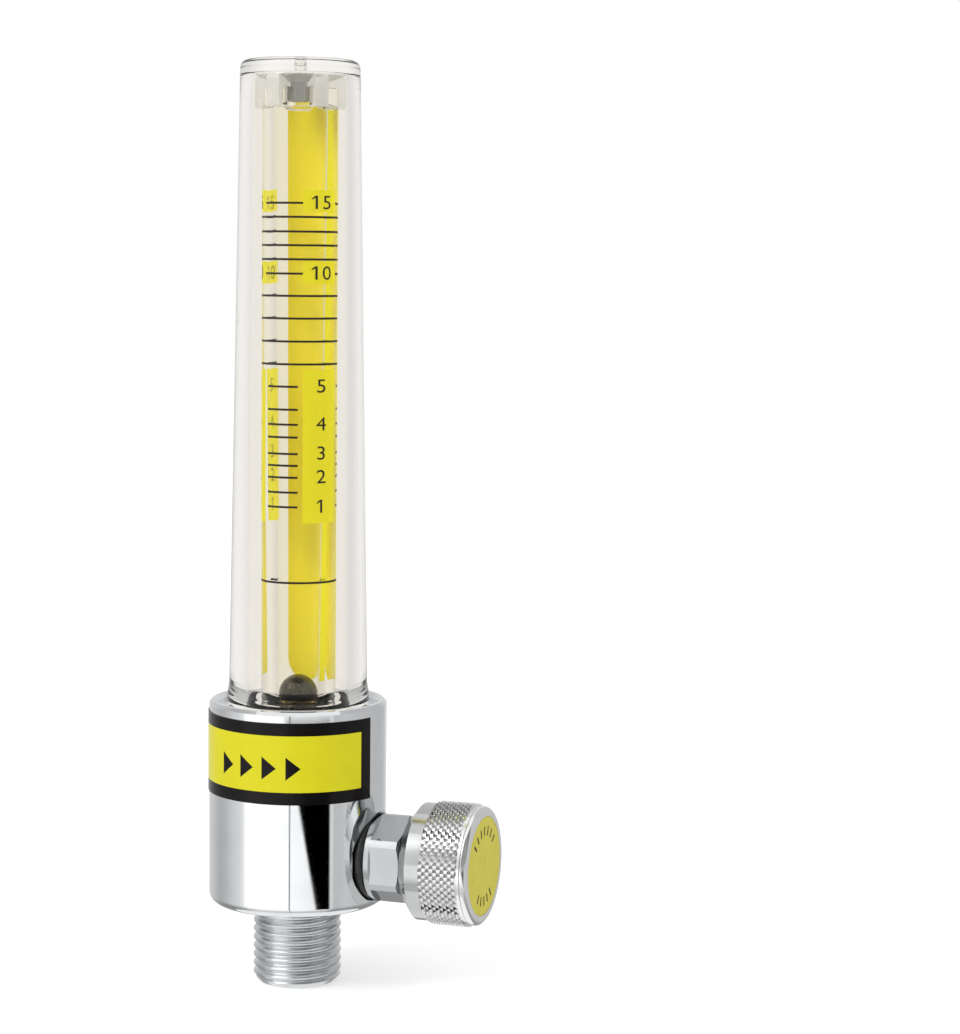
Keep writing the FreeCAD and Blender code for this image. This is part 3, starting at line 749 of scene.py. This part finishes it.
def makeCover(settings):
    low, high = coverLow[2], coverHigh[2]
    outline = roundedOutline(steps=settings["steps"], corners=[
        (settings["boreLow"], low),
        (settings["spigot"], low),
        (settings["spigot"], settings["grooveLow"]),
        (settings["ringGroove"], settings["grooveLow"]),
        (settings["ringGroove"], settings["grooveHigh"]),
        (settings["spigot"], settings["grooveHigh"]),
        (settings["spigot"], settings["seat"]),
        (settings["foot"], settings["seat"], settings["footRound"]),
        (settings["foot"], settings["footTop"], settings["footTopRound"]),
        (settings["neck"], settings["neckHeight"], settings["neckRound"]),
        (coverHigh[0] - settings["topInset"], high, settings["topRound"]),
        (0, high),
        (0, settings["gateTop"]),
        (settings["gate"], settings["gateTop"], settings["gateRound"]),
        (settings["gate"], settings["ceiling"]),
        (settings["cavityTop"], settings["ceiling"], settings["ceilingRound"]),
        (settings["boreHigh"], settings["cavityFoot"])])
    piece = newPiece("clearCover", turnedMesh("clearCover", outline), "meter_body")
    piece.data.materials.append(clears["clearCover"])
    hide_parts("cover_tube")


# Six square ports, wider outside than inside, run through the tube's top and the cage round it
flowPorts = {
    "count": 6, "turn": 18.6,                              # degrees
    "middle": 143.45, "outerWidth": 5.6, "innerWidth": 3.6, "outerRadius": 7.25, "innerRadius": 4.3,
    "overrun": 1.0, "crisp": 20,                           # mm past both walls, degrees
}


def cutPorts(piece, settings):
    # funnels cut out of a clear piece, one boolean for all six
    points, faces = [], []
    inner, outer = settings["innerRadius"], settings["outerRadius"]
    spread = (settings["outerWidth"] - settings["innerWidth"]) / (outer - inner)
    for index in range(settings["count"]):
        turned = math.radians(settings["turn"] + index * 360 / settings["count"])
        sine, cosine = math.sin(turned), math.cos(turned)
        first = len(points)
        for radius in (inner - settings["overrun"], outer + settings["overrun"]):
            half = (settings["innerWidth"] + spread * (radius - inner)) / 2
            for across, up in ((-half, -half), (half, -half), (half, half), (-half, half)):
                points.append((radius * sine + across * cosine, across * sine - radius * cosine,
                               settings["middle"] + up))
        faces.append((first, first + 3, first + 2, first + 1))
        faces.append((first + 4, first + 5, first + 6, first + 7))
        for side in range(4):
            following = (side + 1) % 4
            faces.append((first + side, first + following, first + 4 + following, first + 4 + side))
    mesh = meshFrom("portCutter", points, faces, smooth=False)
    faceOutward(mesh)
    cutter = bpy.data.objects.new("portCutter", mesh)
    scene.collection.objects.link(cutter)
    modifier = piece.modifiers.new("ports", "BOOLEAN")
    modifier.object = cutter
    modifier.operation = "DIFFERENCE"
    modifier.solver = "EXACT"
    bpy.context.view_layer.update()
    cut = bpy.data.meshes.new_from_object(piece.evaluated_get(bpy.context.evaluated_depsgraph_get()))
    piece.modifiers.clear()
    piece.data = cut
    sharpen(cut, settings["crisp"])
    bpy.data.objects.remove(cutter)


clearTube = {
    "boreLow": 3.3, "boreHigh": 4.3, "boreFoot": 47.6,     # mm
    "footRound": 0.15, "topRound": 0.25, "boreRound": 0.15, "steps": 4,
}


def makeFlowTube(settings):
    low, high = tubeLow[2], tubeHigh[2]
    outline = roundedOutline(steps=settings["steps"], corners=[
        (settings["boreLow"], low),
        (tubeRadius, low, settings["footRound"]),
        (tubeRadius, high, settings["topRound"]),
        (settings["boreHigh"], high, settings["boreRound"]),
        (settings["boreLow"], settings["boreFoot"])])
    piece = newPiece("clearTube", turnedMesh("clearTube", outline), "meter_body")
    piece.data.materials.append(clears["clearTube"])
    cutPorts(piece, flowPorts)
    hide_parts("flow_tube")


clearCage = {
    "skirt": 6.1, "outer": 7.25, "plugSeat": 3.55, "neck": 1.2, "recess": 0.8,     # mm
    "footRound": 0.2, "topRound": 1.0, "steps": 6,
}


def makeStopCage(settings):
    low, high, tubeTop = cageLow[2], cageHigh[2], tubeHigh[2]
    seat = tubeTop + settings["recess"]
    outline = roundedOutline(steps=settings["steps"], corners=[
        (settings["skirt"], low),
        (settings["outer"], low, settings["footRound"]),
        (settings["outer"], high, settings["topRound"]),
        (settings["neck"], high),
        (settings["neck"], seat),
        (settings["plugSeat"], seat),
        (settings["plugSeat"], tubeTop),
        (settings["skirt"], tubeTop)])
    piece = newPiece("clearCage", turnedMesh("clearCage", outline), "meter_body")
    piece.data.materials.append(clears["clearCage"])
    cutPorts(piece, flowPorts)
    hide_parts("stop_cage")


makeCover(clearCover)
makeFlowTube(clearTube)
makeStopCage(clearCage)

# CAD pieces that keep their shape take their finish
finishOfNode = {
    "inlet_filter": metals["sinteredBronze"], "label_band": buildLabelFilm(labelPrint),
    "cover_o_ring": plastics["blackRubber"], "tube_gasket": plastics["blackRubber"],
    "ball_seat": metals["turnedBrass"], "float_ball": metals["ballSteel"],
    "scale_strip": plastics["yellowStrip"], "float_stop": metals["stopMetal"],
    "bonnet": metals["platedBonnet"], "bonnet_o_ring": plastics["blackRubber"],
    "stem_o_ring": plastics["blackRubber"], "needle": metals["turnedBrass"],
    "valve_stem": metals["turnedBrass"], "knob": buildKnobPlating(knobFinish),
    "knob_screw": metals["screwSteel"],
}
for node, material in finishOfNode.items():
    dress(node, material)
print("stage 6: finishes on")


# Studio: a pale floor, a wall that only reflections see, two soft lamps and a white sky
studio = {
    "floorSize": 4.0, "floorColour": 0.6, "floorGlow": 0.41, "floorRough": 0.9, "floorGloss": 0.1,
    "wallRadius": 0.13, "wallLow": -0.12, "wallHigh": 0.26, "wallColumns": 96,      # metres
    # what mirrors and glass see on the wall, by degrees from the front towards the knob
    "mirrorWall": ((-180, 0.75), (-137, 0.72), (-110, 0.62), (-93, 0.5), (-80, 0.55), (-64, 0.72),
                   (-54, 0.8), (-48, 0.98), (-45, 1.3), (-40, 1.35), (11.5, 1.25), (11.9, 0.12),
                   (13.3, 0.12), (13.7, 1.2), (62, 1.0), (68, 0.6), (77, 0.62), (84, 0.66), (105, 0.6),
                   (130, 0.56), (160, 0.56), (180, 0.75)),
    "glassWall": ((-180, 1.0), (-125, 1.0), (-105, 0.92), (-85, 0.85), (-50, 0.7), (85, 0.7),
                  (105, 0.76), (150, 0.8), (172, 0.92), (180, 1.0)),
    # above frontLow mirrors see a dark front; angles in degrees, heights in mm
    "frontTone": 0.25, "frontFrom": -6.0, "frontTo": 95.0, "frontSoft": 8.0, "frontLow": 27.0,
    "frontHigh": 31.0,
    # a dark card stands on the wall; its left edge leans
    "cardEdge": 30.4, "cardLean": 1.0, "cardEnd": 62.5, "cardSoft": 1.6,
    "cardLow": -34.0, "cardHigh": 24.0, "cardFade": 2.0,
    "shade": 0.45, "shadeFrom": -20.0, "shadeTo": -60.0,   # the wall's foot darkens
}
# soft lamps, in metres and watts
lamps = {
    "keyLamp": dict(place=(-0.35, -0.45, 0.55), target=(0, 0, 0.07), size=0.35, power=3.0),
    "fillLamp": dict(place=(0.6, -0.3, 0.35), target=(0, 0, 0.06), size=0.4, power=1.0),
}


def makeFloor(settings):
    size, level = settings["floorSize"], settings["floorColour"]
    mesh = bpy.data.meshes.new("floor")
    corners = [(-size, -size, 0), (size, -size, 0), (size, size, 0), (-size, size, 0)]
    mesh.from_pydata(corners, [], [(0, 1, 2, 3)])
    floor = bpy.data.objects.new("floor", mesh)
    scene.collection.objects.link(floor)
    material, tree, shader = newMaterial("floorPaper", Roughness=settings["floorRough"],
                                         Specular_IOR_Level=settings["floorGloss"],
                                         Base_Color=(level, level, level, 1))
    # camera, mirror and glass see the floor as white as the sky
    path = tree.nodes.new("ShaderNodeLightPath")
    seen = maths(tree, "MAXIMUM", path.outputs["Is Camera Ray"], path.outputs["Is Glossy Ray"])
    seen = maths(tree, "MAXIMUM", seen, path.outputs["Is Transmission Ray"])
    strength = maths(tree, "MULTIPLY", seen, settings["floorGlow"])
    glow = addNode(tree, "ShaderNodeEmission", links={"Strength": strength})
    add = tree.nodes.new("ShaderNodeAddShader")
    tree.links.new(shader.outputs["BSDF"], add.inputs[0])
    tree.links.new(glow.outputs["Emission"], add.inputs[1])
    tree.links.new(add.outputs["Shader"], surfaceOut(tree))
    mesh.materials.append(material)
    floor.visible_glossy = False


def wallTone(tree, angle, tones):
    # brightness round the wall from (degrees, tone) pairs
    brightest = max(value for _, value in tones)
    ramp = tree.nodes.new("ShaderNodeValToRGB")
    stops = ramp.color_ramp.elements
    for turn, _ in tones[1:-1]:
        stops.new(turn / 360 + 0.5)
    for stop, (turn, value) in zip(stops, tones):
        stop.position = turn / 360 + 0.5
        stop.color = (value / brightest, value / brightest, value / brightest, 1)
    tree.links.new(maths(tree, "MULTIPLY_ADD", angle, 1 / 360, 0.5), ramp.inputs["Fac"])
    return maths(tree, "MULTIPLY", ramp.outputs["Color"], brightest)


def buildWallCloth(settings):
    material = bpy.data.materials.new("studioCloth")
    material.use_nodes = True
    tree = material.node_tree
    tree.nodes.clear()
    place = placeGroup(tree, cylinderPlace)
    angle, height = place.outputs["Angle"], place.outputs["Height"]
    leaning = maths(tree, "MULTIPLY_ADD", height, settings["cardLean"], angle)
    soft = settings["cardSoft"]
    card = maths(tree, "MULTIPLY",
                 fade(tree, leaning, settings["cardEdge"] - soft, settings["cardEdge"] + soft),
                 fade(tree, angle, settings["cardEnd"] + soft, settings["cardEnd"] - soft))
    card = maths(tree, "MULTIPLY", card,
                 between(tree, height, settings["cardLow"], settings["cardHigh"], settings["cardFade"]))
    front = maths(tree, "MULTIPLY",
                  between(tree, angle, settings["frontFrom"], settings["frontTo"], settings["frontSoft"]),
                  fade(tree, height, settings["frontLow"], settings["frontHigh"]))
    front = maths(tree, "MULTIPLY", front, 1.0 - settings["frontTone"])
    foot = maths(tree, "MULTIPLY", fade(tree, height, settings["shadeFrom"], settings["shadeTo"]),
                 settings["shade"])
    mirror = wallTone(tree, angle, settings["mirrorWall"])
    for shade in (card, front, foot):
        mirror = maths(tree, "MULTIPLY", mirror, maths(tree, "SUBTRACT", 1.0, shade))
    glass = wallTone(tree, angle, settings["glassWall"])
    path = tree.nodes.new("ShaderNodeLightPath")
    blend = addNode(tree, "ShaderNodeMix", links={"Factor": path.outputs["Is Transmission Ray"],
                                                  "A": mirror, "B": glass})
    glow = addNode(tree, "ShaderNodeEmission", links={"Color": blend.outputs["Result"]})
    out = tree.nodes.new("ShaderNodeOutputMaterial")
    tree.links.new(glow.outputs["Emission"], out.inputs["Surface"])
    return material


def makeWall(settings):
    columns, radius = settings["wallColumns"], settings["wallRadius"]
    points, faces = [], []
    for column in range(columns):
        angle = 2 * math.pi * column / columns
        for height in (settings["wallLow"], settings["wallHigh"]):
            points.append((radius * math.cos(angle), radius * math.sin(angle), height))
    for column in range(columns):
        here, ahead = 2 * column, 2 * ((column + 1) % columns)
        faces.append((here, here + 1, ahead + 1, ahead))
    mesh = bpy.data.meshes.new("studioWall")
    mesh.from_pydata(points, [], faces)
    mesh.materials.append(buildWallCloth(settings))
    wall = bpy.data.objects.new("studioWall", mesh)
    scene.collection.objects.link(wall)
    wall.visible_camera = False
    wall.visible_diffuse = False
    wall.visible_shadow = False


def makeLamp(name, place, target, size, power):
    data = bpy.data.lights.new(name, "AREA")
    data.shape = "DISK"
    data.size = size
    data.energy = power
    lamp = bpy.data.objects.new(name, data)
    scene.collection.objects.link(lamp)
    aim = Vector(target) - Vector(place)
    lamp.matrix_world = Matrix.Translation(place) @ aim.to_track_quat("-Z", "Y").to_matrix().to_4x4()
    lamp.visible_camera = False


def makeSky():
    # plain white at strength 1
    world = bpy.data.worlds.new("studioSky")
    scene.world = world
    world.use_nodes = True
    tree = world.node_tree
    tree.nodes.clear()
    background = addNode(tree, "ShaderNodeBackground", inputs={"Color": (1, 1, 1, 1), "Strength": 1.0})
    out = tree.nodes.new("ShaderNodeOutputWorld")
    tree.links.new(background.outputs["Background"], out.inputs["Surface"])


makeFloor(studio)
makeWall(studio)
makeSky()
for name, values in lamps.items():
    makeLamp(name, **values)
print("stage 7: studio lit")
